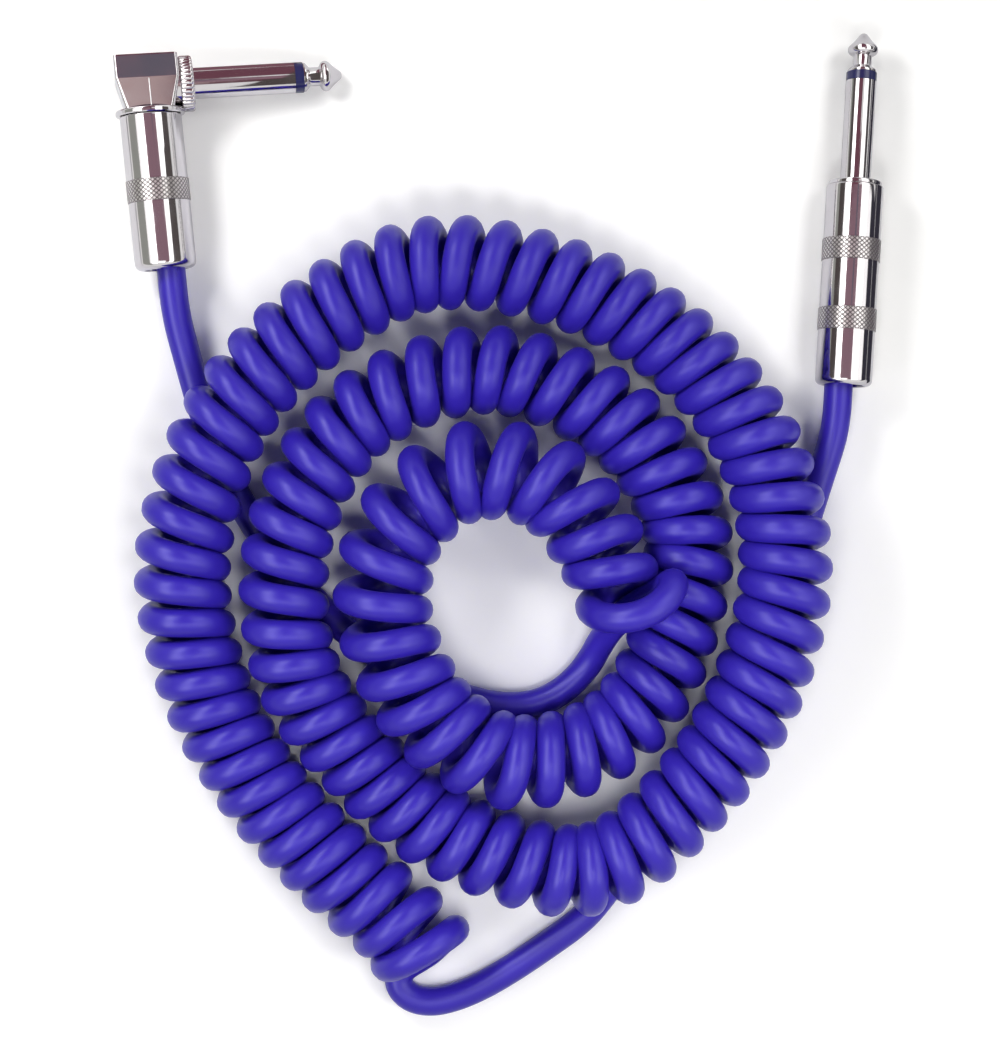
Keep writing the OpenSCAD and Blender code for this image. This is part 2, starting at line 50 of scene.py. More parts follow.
# ---------- colours and nodes


def linear(code: str) -> tuple[float, float, float, float]:
    """Turn an sRGB hex colour into the linear colour that shaders take.

    Args:
        code: the colour, such as "#4330B5".

    Returns:
        Red, green, blue and an alpha of 1.
    """
    parts = [int(code[i : i + 2], 16) / 255 for i in (1, 3, 5)]
    bent = [c / 12.92 if c <= 0.04045 else ((c + 0.055) / 1.055) ** 2.4 for c in parts]
    return (bent[0], bent[1], bent[2], 1.0)


def add_node(tree: bpy.types.NodeTree, kind: str, inputs: dict | None = None, **settings) -> bpy.types.Node:
    """Add a node with its settings, constants and links.

    Args:
        tree: the node tree it goes into.
        kind: Blender's name of the node type.
        inputs: socket name or number to a constant, or to a socket that feeds it.
        settings: the node's own properties.

    Returns:
        The new node, placed to the right of the ones before it.
    """
    node = tree.nodes.new(kind)
    node.location = (200 * len(tree.nodes), 0)
    for name, value in settings.items():
        setattr(node, name, value)
    for key, value in (inputs or {}).items():
        if isinstance(value, bpy.types.NodeSocket):
            tree.links.new(value, node.inputs[key])
        else:
            node.inputs[key].default_value = value
    return node


def new_material(name: str) -> tuple[bpy.types.Material, bpy.types.NodeTree]:
    """Make a material with an empty node tree.

    Args:
        name: the material's name.

    Returns:
        The material and its tree.
    """
    made = bpy.data.materials.new(name)
    made.use_nodes = True
    made.node_tree.nodes.clear()
    return made, made.node_tree


# ---------- finishes


@dataclass(frozen=True)
class Metal:
    """Plated or bare metal: fine turning marks, faint clouds and rubbed patches."""

    name: str
    colour: str
    cloud: str
    roughness: float
    rubbed: float
    mark_mm: float = 0.25
    mark_depth: float = 0.02

    def material(self) -> bpy.types.Material:
        """Build the metal's node tree."""
        made, tree = new_material(self.name)
        where = add_node(tree, "ShaderNodeTexCoord")
        stretched = add_node(tree, "ShaderNodeMapping",
                             {"Vector": where.outputs["Object"], "Scale": (0.12, 0.12, 1.0)})
        marks = add_node(tree, "ShaderNodeTexNoise",
                         {"Vector": stretched.outputs["Vector"], "Scale": 1 / (self.mark_mm * MM), "Detail": 2.0})
        clouds = add_node(tree, "ShaderNodeTexNoise",
                          {"Vector": where.outputs["Object"], "Scale": 1 / (4.0 * MM), "Detail": 3.0})
        tone = add_node(tree, "ShaderNodeMixRGB",
                        {"Fac": clouds.outputs["Fac"], "Color1": linear(self.colour), "Color2": linear(self.cloud)})
        rough = add_node(tree, "ShaderNodeMapRange",
                         {"Value": clouds.outputs["Fac"], "From Min": 0.35, "From Max": 0.75,
                          "To Min": self.roughness, "To Max": self.rubbed})
        bump = add_node(tree, "ShaderNodeBump",
                        {"Height": marks.outputs["Fac"], "Strength": self.mark_depth, "Distance": 0.05 * MM})
        shader = add_node(tree, "ShaderNodeBsdfPrincipled",
                          {"Base Color": tone.outputs["Color"], "Metallic": 1.0,
                           "Roughness": rough.outputs["Result"], "Normal": bump.outputs["Normal"]})
        add_node(tree, "ShaderNodeOutputMaterial", {"Surface": shader.outputs["BSDF"]})
        return made


@dataclass(frozen=True)
class Plastic:
    """Moulded or extruded plastic: two near tones, a fine grain and uneven gloss."""

    name: str
    colour: str
    cloud: str
    roughness: float
    glossier: float
    grain_mm: float
    grain_depth: float
    cloud_mm: float = 14.0
    ior: float = 1.5
    opacity: float = 1.0
    gloss: float = 0.5

    def material(self) -> bpy.types.Material:
        """Build the plastic's node tree."""
        made, tree = new_material(self.name)
        where = add_node(tree, "ShaderNodeTexCoord")
        clouds = add_node(tree, "ShaderNodeTexNoise",
                          {"Vector": where.outputs["Object"], "Scale": 1 / (self.cloud_mm * MM), "Detail": 2.0})
        grain = add_node(tree, "ShaderNodeTexNoise",
                         {"Vector": where.outputs["Object"], "Scale": 1 / (self.grain_mm * MM), "Detail": 3.0})
        tone = add_node(tree, "ShaderNodeMixRGB",
                        {"Fac": clouds.outputs["Fac"], "Color1": linear(self.colour), "Color2": linear(self.cloud)})
        rough = add_node(tree, "ShaderNodeMapRange",
                         {"Value": clouds.outputs["Fac"], "From Min": 0.3, "From Max": 0.7,
                          "To Min": self.roughness, "To Max": self.glossier})
        bump = add_node(tree, "ShaderNodeBump",
                        {"Height": grain.outputs["Fac"], "Strength": self.grain_depth, "Distance": 0.1 * MM})
        shader = add_node(tree, "ShaderNodeBsdfPrincipled",
                          {"Base Color": tone.outputs["Color"], "Roughness": rough.outputs["Result"],
                           "IOR": self.ior, "Alpha": self.opacity, "Specular IOR Level": self.gloss,
                           "Normal": bump.outputs["Normal"]})
        add_node(tree, "ShaderNodeOutputMaterial", {"Surface": shader.outputs["BSDF"]})
        return made


@dataclass(frozen=True)
class Twisted:
    """Bare strands twisted together, drawn as slanting bands, darker where the bands dip: painted shade between the
    strands.
    """

    name: str
    colour: str
    # colour in the dips between the strands, painted dark as their shade
    gap: str
    strand_mm: float

    def material(self) -> bpy.types.Material:
        """Build the twisted strands' node tree."""
        made, tree = new_material(self.name)
        where = add_node(tree, "ShaderNodeTexCoord")
        slanted = add_node(tree, "ShaderNodeMapping",
                           {"Vector": where.outputs["Object"], "Rotation": (0.0, 0.0, math.radians(55))})
        bands = add_node(tree, "ShaderNodeTexWave",
                         {"Vector": slanted.outputs["Vector"], "Scale": 0.31 / (self.strand_mm * MM),
                          "Distortion": 0.4})
        # the dips of the bands take the gap colour: painted shade between the strands
        tone = add_node(tree, "ShaderNodeMixRGB",
                        {"Fac": bands.outputs["Fac"], "Color1": linear(self.gap), "Color2": linear(self.colour)})
        bump = add_node(tree, "ShaderNodeBump",
                        {"Height": bands.outputs["Fac"], "Strength": 0.6, "Distance": 0.1 * MM})
        shader = add_node(tree, "ShaderNodeBsdfPrincipled",
                          {"Base Color": tone.outputs["Color"], "Metallic": 1.0, "Roughness": 0.35,
                           "Normal": bump.outputs["Normal"]})
        add_node(tree, "ShaderNodeOutputMaterial", {"Surface": shader.outputs["BSDF"]})
        return made


class Finish(Enum):
    """The finishes of the cable, each named for the real material."""

    # Bright nickel plate over turned brass: a near mirror, a little warm
    NICKEL = Metal("bright_nickel_plate", "#D9D6D6", "#CCC8CA", 0.06, 0.13)
    # The knurl's crests are rubbed and its valleys hold the light less
    KNURL = Metal("knurled_nickel_plate", "#DCD8D6", "#C8C3C2", 0.3, 0.4, 0.3, 0.05)
    # Between the crests the plate is dull, and its dark colour is painted shade in the grooves, so the diamonds
    # stand out
    GROOVE = Metal("knurl_groove_painted_shade", "#8A8384", "#6E6769", 0.35, 0.5, 0.3, 0.05)
    # Stamped steel, tin plated: duller than the nickel
    STAMPED = Metal("tinned_steel_stamping", "#BDBBB8", "#A5A3A0", 0.22, 0.38, 0.4, 0.08)
    # Turned brass of the rod and lugs, unplated
    BRASS = Metal("turned_brass", "#C8A765", "#B08E4E", 0.18, 0.32, 0.2, 0.06)
    # Soft vinyl, extruded smooth: satin, with a broad pale highlight
    JACKET = Plastic("extruded_vinyl_jacket", "#3727AE", "#3222A4", 0.36, 0.3, 0.5, 0.06, gloss=0.35)
    # Hard moulded acetal of the ring and tube, dark navy and glossy
    INSULATOR = Plastic("moulded_acetal_navy", "#2B2C5C", "#242550", 0.22, 0.15, 0.4, 0.03, 3.0)
    # Pressed vulcanised fibre of the washers, dull and flecked
    FIBRE = Plastic("pressed_fibre_washer", "#6B4A32", "#573A26", 0.75, 0.6, 0.3, 0.4, 0.8)
    # Thin clear polyester tube of the liners
    LINER = Plastic("clear_polyester_liner", "#D8D4C4", "#CFCAB8", 0.2, 0.12, 0.6, 0.04, 5.0, 1.58, 0.45)
    # Coloured polythene over the inner conductor
    CORE = Plastic("polythene_core_red", "#A33A34", "#93322D", 0.4, 0.3, 0.4, 0.05, 4.0)
    # Fine copper strands of the screen, twisted into one lead, with painted shade between the strands
    SCREEN = Twisted("twisted_copper_screen", "#C58155", "#6E3F25", 0.35)


MADE: dict[Finish, bpy.types.Material] = {}


def dress(piece: bpy.types.Object, *finishes: Finish) -> None:
    """Give a piece its finishes, each material made once.

    Args:
        piece: the object to dress.
        finishes: the finish of each material slot, in order.
    """
    piece.data.materials.clear()
    for finish in finishes:
        if finish not in MADE:
            MADE[finish] = finish.value.material()
        piece.data.materials.append(MADE[finish])


# ---------- bench tools


def only(piece: bpy.types.Object) -> None:
    """Select one object and nothing else, and make it active."""
    bpy.ops.object.select_all(action="DESELECT")
    piece.select_set(True)
    bpy.context.view_layer.objects.active = piece


def pick(piece: bpy.types.Object, kind: str, wanted: Callable[..., bool]) -> None:
    """Select the points, edges or faces of a mesh that a test picks, ready for edit mode.

    Args:
        piece: the object, in object mode.
        kind: "vertices", "edges" or "polygons".
        wanted: true for what to select, asked with a point's place, an edge's two ends or a face.
    """
    mesh = piece.data
    spots = mesh.vertices
    asked = {"vertices": lambda point: (point.co,),
             "edges": lambda edge: (spots[edge.vertices[0]].co, spots[edge.vertices[1]].co),
             "polygons": lambda face: (face,)}
    bpy.context.tool_settings.mesh_select_mode = tuple(k == kind for k in asked)
    for k, ask in asked.items():
        part = getattr(mesh, k)
        part.foreach_set("select", [k == kind and bool(wanted(*ask(item))) for item in part])


def edit(piece: bpy.types.Object) -> None:
    """Open a piece in edit mode, alone."""
    only(piece)
    bpy.ops.object.mode_set(mode="EDIT")


def leave_edit() -> None:
    """Close edit mode."""
    bpy.ops.object.mode_set(mode="OBJECT")


def close_up(piece: bpy.types.Object, gap: float = 0.002) -> None:
    """Merge the doubles of a closed mesh and turn its faces outwards.

    Args:
        piece: the object to close.
        gap: the largest gap that is merged, in millimetres.
    """
    bpy.context.tool_settings.mesh_select_mode = (True, False, False)
    edit(piece)
    bpy.ops.mesh.select_all(action="SELECT")
    bpy.ops.mesh.remove_doubles(threshold=gap * MM)
    bpy.ops.mesh.normals_make_consistent(inside=False)
    leave_edit()


def apply(piece: bpy.types.Object, kind: str, name: str, **settings) -> None:
    """Add a modifier to a piece and apply it.

    Args:
        piece: the object.
        kind: the modifier's type.
        name: the modifier's name.
        settings: the modifier's own properties.
    """
    only(piece)
    modifier = piece.modifiers.new(name, kind)
    for key, value in settings.items():
        setattr(modifier, key, value)
    bpy.ops.object.modifier_apply(modifier=modifier.name)


def smooth(piece: bpy.types.Object, degrees: float = 35.0) -> None:
    """Shade a piece smooth, and keep the edges sharper than an angle."""
    only(piece)
    bpy.ops.object.shade_smooth_by_angle(angle=math.radians(degrees))


def place(piece: bpy.types.Object, pose: Matrix) -> None:
    """Move a piece from its own axis to where it lies, in its mesh.

    Args:
        piece: the object.
        pose: from the piece's own millimetre axes to the frame, in metres.
    """
    only(piece)
    piece.matrix_world = pose @ piece.matrix_world
    bpy.ops.object.transform_apply(location=True, rotation=True, scale=True)


def join(pieces: Sequence[bpy.types.Object]) -> bpy.types.Object:
    """Join pieces into the first of them.

    Args:
        pieces: the objects, all meshes.

    Returns:
        The first object, which now holds them all.
    """
    bpy.ops.object.select_all(action="DESELECT")
    for piece in pieces:
        piece.select_set(True)
    bpy.context.view_layer.objects.active = pieces[0]
    bpy.ops.object.join()
    return pieces[0]


def seat(piece: bpy.types.Object, node: str, body: str = "plugs_and_cord") -> None:
    """Let a finished piece stand for its node.

    Args:
        piece: the piece, in its place.
        node: the node that it replaces.
        body: the body that it rides on.
    """
    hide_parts(node)
    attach(piece, body)
    log.info("%s: %d faces", piece.name, len(piece.data.polygons))


def arc(centre: tuple[float, float], radius: float, start: float, end: float, steps: int = 8) -> Outline:
    """Points of a circular arc of an outline.

    Args:
        centre: its centre, as radius and height.
        radius: its radius.
        start: where it starts, in degrees.
        end: where it ends, in degrees.
        steps: number of its steps.

    Returns:
        The points from start to end.
    """
    turns = [math.radians(start + (end - start) * i / steps) for i in range(steps + 1)]
    return [(centre[0] + radius * math.cos(a), centre[1] + radius * math.sin(a)) for a in turns]


def lathe(name: str, outline: Outline, sides: int = 96) -> bpy.types.Object:
    """Turn an outline about z: a circle that is extruded from point to point.

    Args:
        name: the object's name.
        outline: radius and height of each point, in millimetres, all the way round a ring
            or from one point of the axis to another.
        sides: number of sides of the turned shape.

    Returns:
        The closed mesh object.
    """
    tiny = 0.0005  # a point on the axis starts this wide and is merged
    points = [(max(r, tiny), z) for r, z in outline]
    bpy.ops.object.select_all(action="DESELECT")
    bpy.ops.mesh.primitive_circle_add(vertices=sides, radius=points[0][0] * MM, fill_type="NOTHING",
                                      location=(0, 0, points[0][1] * MM))
    piece = bpy.context.object
    piece.name = name
    piece.data.name = name
    bpy.ops.object.transform_apply(location=True, rotation=True, scale=True)
    bpy.context.tool_settings.mesh_select_mode = (True, False, False)
    edit(piece)
    bpy.ops.mesh.select_all(action="SELECT")
    closed = points[0][0] > tiny or points[-1][0] > tiny
    for (r0, z0), (r1, z1) in zip(points, points[1:] + points[:1] if closed else points[1:]):
        bpy.ops.mesh.extrude_region_move(TRANSFORM_OT_translate={"value": (0, 0, (z1 - z0) * MM)})
        bpy.ops.transform.resize(value=(r1 / r0, r1 / r0, 1), center_override=(0, 0, z1 * MM))
    leave_edit()
    close_up(piece)
    return piece


# ---------- where the plugs lie


def turn(axis: str, degrees: float) -> Matrix:
    """A turn about one axis."""
    return Matrix.Rotation(math.radians(degrees), 4, axis)


STRAIGHT_AT = Vector((74.5, 6.2, 6.05))
STRAIGHT_LEAN = turn("Z", -3.4)
STRAIGHT_POSE = Matrix.Translation(STRAIGHT_AT * MM) @ STRAIGHT_LEAN @ turn("X", -90)
ANGLE_AT = Vector((-72.6, 25.2, 10.3))
ANGLE_LEAN = turn("Z", 5) @ turn("X", 5) @ turn("Y", 11)
ANGLE_POSE = Matrix.Translation(ANGLE_AT * MM) @ ANGLE_LEAN
ANGLE_SHAFT_POSE = ANGLE_POSE @ Matrix.Translation((9.4 * MM, 0, 0)) @ turn("Y", 90)
ANGLE_BARREL_POSE = ANGLE_POSE @ turn("X", -90)


def straight_point(x: float, z: float) -> Vector:
    """A point in the straight plug's barrel: across its axis, and along it."""
    return STRAIGHT_AT + STRAIGHT_LEAN @ Vector((x, z, 0))


def angle_point(x: float, y: float) -> Vector:
    """A point in the right-angle plug's barrel: across its axis, and along it."""
    return ANGLE_AT + ANGLE_LEAN @ Vector((x, y, 0))


# ---------- studio


@dataclass
class Studio:
    """Camera straight over the cable, a pale floor and soft light from both sides."""

    height: float = 385.0
    centre: tuple[float, float] = (0.25, -64.6)
    view_width: float = 212.36
    bleach: tuple[float, float, float, float] = (1.09, 1.08, 1.06, 1)
    fade: tuple[float, float] = (260.0, 420.0)
    # name, place, width and height, and watts of each lamp
    lamps: tuple = (
        ("left_back", (-190, 125, 225), (100, 120), 0.57),
        ("left_front", (-205, -190, 215), (100, 140), 0.24),
        ("right_back", (195, 90, 230), (80, 140), 0.26),
        ("right_front", (195, -190, 230), (80, 140), 0.28),
        ("over", (10, -145, 230), (70, 70), 0.20))
    # name, lowest and highest x and y, height, colour and strength of each card in the metal
    cards: tuple = (
        # the dull ceiling over the cable, which draws the dark red streaks along the barrels
        ("middle", (-390, -120), (415, 215), 1000, "#987884", 1),
        ("head", (100, 95), (190, 215), 999, "#6F6A78", 1),
        ("front", (130, -700), (215, -120), 1000, "#C4ABAB", 1),
        ("edge", (215, -430), (415, -120), 1000, "#6E4854", 1),
        ("front_left", (-390, -700), (-330, -120), 1000, "#C4ABAB", 1),
        ("back", (-390, 215), (180, 60000), 1000, "#7A4E5C", 1),
        ("back_right", (180, 340), (420, 60000), 1000, "#7A4E5C", 1),
        # low dark cards, which draw the thin lines at the sides of the barrels and shafts
        ("grey", (-3000, -900), (-524, 900), 400, "#A6A8A2", 1),
        ("low", (-37, -40), (31, 18), 46, "#57504F", 1),
        ("low_back", (-33, 18), (31, 60), 46, "#57504F", 1),
        ("charcoal", (94, -50), (600, 8), 20, "#3C3A45", 1),
        ("charcoal_far", (130, 8), (600, 80), 20, "#3C3A45", 1),
        ("charcoal_floor", (91, -50), (400, 60), 0.4, "#3C3A45", 1),
        ("shaft", (109, 10), (150, 70), 36, "#4A4648", 1),
        ("table_back", (-150, 36), (-43, 3000), 0.4, "#8A5F6C", 1),
        # bright windows and walls beyond the ceiling, which draw the white bands beside the streaks
        ("window_left", (-900, -700), (-390, 1500), 1001, "#FFFFFF", 5),
        ("window_right", (415, -700), (1100, 1500), 1001, "#FFFFFF", 2.4),
        ("wall_left", (-1300, -700), (-900, 1500), 1001, "#FFFFFF", 1.5),
        ("wall_right", (1100, -700), (2200, 1500), 1001, "#FFFFFF", 1.5),
        ("window_over", (-330, -700), (130, -120), 1001, "#FFFFFF", 2))

    def camera(self) -> None:
        """Put the camera over the cable, looking down."""
        data = bpy.data.cameras.new("camera")
        data.sensor_fit = "HORIZONTAL"
        data.sensor_width = 36.0
        data.lens = data.sensor_width * self.height / self.view_width
        data.clip_start = 0.01
        camera = bpy.data.objects.new("camera", data)
        camera.location = (self.centre[0] * MM, self.centre[1] * MM, self.height * MM)
        bpy.context.scene.collection.objects.link(camera)
        bpy.context.scene.camera = camera

    def floor(self) -> None:
        """Lay the floor: pale paper that shows white to the camera, keeps the shadows and fades out far off."""
        bpy.ops.object.select_all(action="DESELECT")
        bpy.ops.mesh.primitive_plane_add(size=6.0, location=(0, 0, 0))
        sheet = bpy.context.object
        sheet.name = "floor"
        made, tree = new_material("white_paper_floor")
        path = add_node(tree, "ShaderNodeLightPath")
        paper = add_node(tree, "ShaderNodeBsdfDiffuse", {"Color": linear("#EDEDF0")})
        bleached = add_node(tree, "ShaderNodeBsdfDiffuse", {"Color": self.bleach})
        where = add_node(tree, "ShaderNodeTexCoord")
        reach = add_node(tree, "ShaderNodeVectorMath", {0: where.outputs["Object"]}, operation="LENGTH")
        far = add_node(tree, "ShaderNodeMapRange",
                       {"Value": reach.outputs["Value"], "From Min": self.fade[0] * MM,
                        "From Max": self.fade[1] * MM},
                       interpolation_type="SMOOTHSTEP")
        gone = add_node(tree, "ShaderNodeBsdfTransparent")
        fading = add_node(tree, "ShaderNodeMixShader",
                          {"Fac": far.outputs["Result"], 1: bleached.outputs[0], 2: gone.outputs[0]})
        mixed = add_node(tree, "ShaderNodeMixShader",
                         {"Fac": path.outputs["Is Camera Ray"], 1: paper.outputs[0], 2: fading.outputs[0]})
        add_node(tree, "ShaderNodeOutputMaterial", {"Surface": mixed.outputs[0]})
        sheet.data.materials.append(made)

    @staticmethod
    def seen(tree: bpy.types.NodeTree) -> bpy.types.NodeSocket:
        """Socket that is 1 for what the camera sees, directly, in metal or through glass."""
        path = add_node(tree, "ShaderNodeLightPath")
        first = add_node(tree, "ShaderNodeMath",
                         {0: path.outputs["Is Camera Ray"], 1: path.outputs["Is Glossy Ray"]},
                         operation="MAXIMUM")
        every = add_node(tree, "ShaderNodeMath",
                         {0: first.outputs[0], 1: path.outputs["Is Transmission Ray"]},
                         operation="MAXIMUM")
        return every.outputs[0]

    def world(self) -> None:
        """White surroundings, with a weaker even fill on the object."""
        world = bpy.data.worlds.new("studio")
        bpy.context.scene.world = world
        world.use_nodes = True
        tree = world.node_tree
        tree.nodes.clear()
        fill = add_node(tree, "ShaderNodeBackground", {"Color": linear("#F4F4FA"), "Strength": 0.12})
        white = add_node(tree, "ShaderNodeBackground", {"Color": (1, 1, 1, 1), "Strength": 1.0})
        mixed = add_node(tree, "ShaderNodeMixShader",
                         {"Fac": self.seen(tree), 1: fill.outputs[0], 2: white.outputs[0]})
        add_node(tree, "ShaderNodeOutputWorld", {"Surface": mixed.outputs[0]})
        world.cycles.sampling_method = "NONE"

    def lamp(self, name: str, at: tuple[float, float, float], size: tuple[float, float], watts: float) -> None:
        """Hang one soft lamp, turned to its own side of the cable.

        Args:
            name: its name.
            at: its place, in millimetres.
            size: its width and height, in millimetres.
            watts: its power.
        """
        data = bpy.data.lights.new(name, "AREA")
        data.shape = "RECTANGLE"
        data.size, data.size_y = size[0] * MM, size[1] * MM
        data.energy = watts
        lamp = bpy.data.objects.new(name, data)
        lamp.location = Vector(at) * MM
        # each lamp aims part of the way from under itself to the middle of the cable
        aim = Vector((at[0] * 0.37, -60 + at[1] * 0.45, 0)) * MM - lamp.location
        lamp.rotation_euler = aim.to_track_quat("-Z", "Y").to_euler()
        lamp.visible_camera = lamp.visible_glossy = False
        bpy.context.scene.collection.objects.link(lamp)

    def card(self, name: str, low: tuple[float, float], high: tuple[float, float], z: float, colour: str,
             strength: float = 1.0) -> None:
        """Lay a card flat over the cable, which only shows in reflections.

        Args:
            name: its name.
            low: its lowest x and y, in millimetres.
            high: its highest x and y.
            z: its height.
            colour: the colour that the metal mirrors.
            strength: how much brighter than paper it is.
        """
        bpy.ops.object.select_all(action="DESELECT")
        bpy.ops.mesh.primitive_plane_add(size=1.0, location=(0, 0, 0))
        sheet = bpy.context.object
        sheet.name = name
        sheet.dimensions = ((high[0] - low[0]) * MM, (high[1] - low[1]) * MM, 0)
        sheet.location = ((low[0] + high[0]) / 2 * MM, (low[1] + high[1]) / 2 * MM, z * MM)
        made, tree = new_material(name)
        glow = add_node(tree, "ShaderNodeEmission", {"Color": linear(colour), "Strength": strength})
        add_node(tree, "ShaderNodeOutputMaterial", {"Surface": glow.outputs[0]})
        sheet.data.materials.append(made)
        for ray in ("camera", "diffuse", "shadow", "transmission", "volume_scatter"):
            setattr(sheet, f"visible_{ray}", False)

    def build(self) -> None:
        """Set up the whole studio."""
        scene = bpy.context.scene
        scene.view_settings.view_transform = "Standard"
        self.floor()
        self.world()
        for name, at, size, watts in self.lamps:
            self.lamp(f"lamp_{name}", at, size, watts)
        for name, low, high, z, colour, strength in self.cards:
            self.card(f"card_{name}", low, high, z, colour, strength)


# ---------- cord


@dataclass
class CurlyCord:
    """One blue-violet cord from plug to plug: a tail, the curls and the other tail."""

    diameter: float = 5.95
    curls: int = 113
    points_per_curl: int = 26
    lie: float = 0.2
    length: float = 5300.0
    easing: int = 20
    # x, y and lift of the curls' middle line, number of curls so far, and the curl's outer width
    route: tuple = (
        (-14.3, -155.2, 0, 0.5, 22), (-17.6, -151, 0, 1.25, 21.6), (-21.3, -147, 0, 2, 20.6),
        (-31.8, -138.4, 0, 4, 20), (-49, -120.1, 0, 8, 19.3), (-61.1, -97.9, 0.5, 12, 19.3),
        (-64.5, -72, 4.5, 16, 19.8), (-55.9, -45, 6.5, 20, 19.4), (-38.6, -24.5, 3, 24, 19.6),
        (-15.2, -11.7, 0, 28, 19.8), (12.6, -15.2, 0, 32, 19.2), (35.9, -27.8, 0.5, 36, 19),
        (52.2, -47.7, 4.5, 40, 18.8), (58.3, -72.7, 6.5, 44, 19.2), (52.9, -97.8, 6.5, 48, 19.6),
        (39.6, -119.4, 6.5, 52, 19), (19, -135.4, 6.5, 56, 19), (-7.7, -130.5, 1.6, 60, 19.2),
        (-28, -115.2, 0.5, 64, 18.6), (-41.8, -94.1, 5, 68, 18.4), (-42.3, -66.3, 6.5, 72, 18.5),
        (-28.3, -42.7, 2.5, 76, 18.8), (-1.6, -33.4, 0, 80, 18.7), (24.8, -44.2, 0, 84, 19.2),
        (38.8, -66.5, 0, 88, 18.9), (34.7, -92.5, 0, 92, 18.6), (23.1, -108.7, 0.5, 95, 18.8),
        (3.6, -114, 4.9, 98, 19.8), (-10.2, -107.6, 6.5, 100, 20.2),
        (-18.8, -96.5, 6.5, 102, 20.2), (-23.6, -81.8, 6, 104, 20.4), (-20.3, -66, 5, 106, 20.4),
        (-7.5, -55, 4, 108, 20.8), (8.9, -56.5, 5, 110, 20.6), (19.5, -68.1, 6, 112, 19.8),
        (24.4, -79.8, 9, 113.75, 19))
    straight_tail: tuple = (
        (68.3, -53, 4.5), (66, -61, 3), (62.5, -72, 3), (58.5, -84, 3), (53, -97, 3),
        (45.5, -110, 3), (36, -123, 3), (27.5, -135, 3), (20, -146.5, 3), (12.5, -152.3, 3),
        (4, -158.2, 3), (-4, -162.9, 3), (-10.5, -165.4, 3), (-15.2, -166, 3), (-19, -164.9, 3),
        (-21.2, -162.2, 3), (-20.6, -159.4, 3), (-18.6, -157.9, 3), (-16.5, -156.6, 3))
    angle_tail: tuple = (
        (-65.8, -29, 4.2), (-63.6, -37.5, 3.1), (-61, -46, 3), (-56.5, -57, 3), (-50, -68, 3),
        (-41.5, -79, 3), (-31, -89, 3), (-19, -97, 3), (-6, -102.6, 3), (4.5, -104, 3),
        (12.5, -101.3, 3), (18.2, -95.8, 3.4), (20.6, -91.3, 5.4), (22.8, -87.3, 8.8),
        (25.6, -83.9, 12.8), (28.5, -81.5, 16), (31.5, -79.7, 18.8), (34.2, -77.4, 21.6),
        (34.9, -77, 24.3), (34, -79, 27), (31.6, -81.3, 28.7), (28.4, -83, 29.4),
        (24.5, -83.9, 29), (20.8, -83.8, 26.6), (18.8, -83, 22.6))

    def middle(self, u: float) -> Vector:
        """Middle line of the curls.

        Args:
            u: number of curls of the slack cord so far.

        Returns:
            Place of the middle line, x, y and its lift, and the curl's outer width there,
            in millimetres.
        """
        last = len(self.route) - 1
        i = max(k for k in range(last) if k == 0 or u >= self.route[k][3])

        def spot(k: int) -> Vector:
            """A station's place and width."""
            return Vector((*self.route[k][:3], self.route[k][4]))

        def slope(k: int) -> Vector:
            """How place and width change there with each curl."""
            a, b = max(k - 1, 0), min(k + 1, last)
            return (spot(b) - spot(a)) / (self.route[b][3] - self.route[a][3])

        d = self.route[i + 1][3] - self.route[i][3]
        t = (u - self.route[i][3]) / d
        return ((2 * t**3 - 3 * t**2 + 1) * spot(i) + (t**3 - 2 * t**2 + t) * d * slope(i)
                + (3 * t**2 - 2 * t**3) * spot(i + 1) + (t**3 - t**2) * d * slope(i + 1))

    def curl_point(self, w: float) -> Vector:
        """A point of the cord's centreline in the curls.

        Args:
            w: from 0 at the outer end to 1 at the inner one.

        Returns:
            The point, in millimetres.
        """
        first, last = self.route[0][3], self.route[-1][3]
        u = first + w * (last - first)
        centre = self.middle(u)
        ahead = self.middle(u + 0.02) - self.middle(u - 0.02)
        side = Vector((-ahead.y, ahead.x)).normalized()
        wind = (centre.w - self.diameter) / 2
        a = math.radians(-90 - 360 * (self.curls + 0.25) * w)
        return Vector((centre.x + wind * math.cos(a) * side.x, centre.y + wind * math.cos(a) * side.y,
                       centre.w / 2 + self.lie + centre.z + wind * math.sin(a)))

    def tail(self, points: list[Vector]) -> list[Vector]:
        """Round a tail: put a point between each two, on the smooth curve through them, and ease it.

        Args:
            points: the line, whose last two steps lie in the curls and only guide the join.

        Returns:
            The line with eight steps for each one, as far as the curls.
        """
        for _ in range(3):
            finer = []
            for i in range(len(points) - 1):
                a, b = points[max(i - 1, 0)], points[i]
                c, d = points[i + 1], points[min(i + 2, len(points) - 1)]
                finer += [b, (9 * (b + c) - a - d) / 16]
            points = finer + [points[-1]]
        for _ in range(self.easing):
            eased = [(a + 2 * b + c) / 4 for a, b, c in zip(points, points[1:], points[2:])]
            points = [points[0], *eased, points[-1]]
        return points[:-16]

    def line(self) -> list[Vector]:
        """The cord's whole centreline, from the straight plug to the right-angle one."""
        steps = round((self.curls + 0.25) * self.points_per_curl)
        coil = [self.curl_point(i / steps) for i in range(steps + 1)]
        # in each barrel the clamp pushes the cord a millimetre off the axis
        outer = self.tail([*(straight_point(-1, z) for z in (-22, -32, -42.7, -51.5)),
                           *map(Vector, self.straight_tail), *coil[:5:2]])
        inner = self.tail([*(angle_point(1, y) for y in (-22, -30, -37.8, -46.8)),
                           *map(Vector, self.angle_tail), *coil[:-6:-2]])
        return outer + coil[1:-1] + inner[::-1]

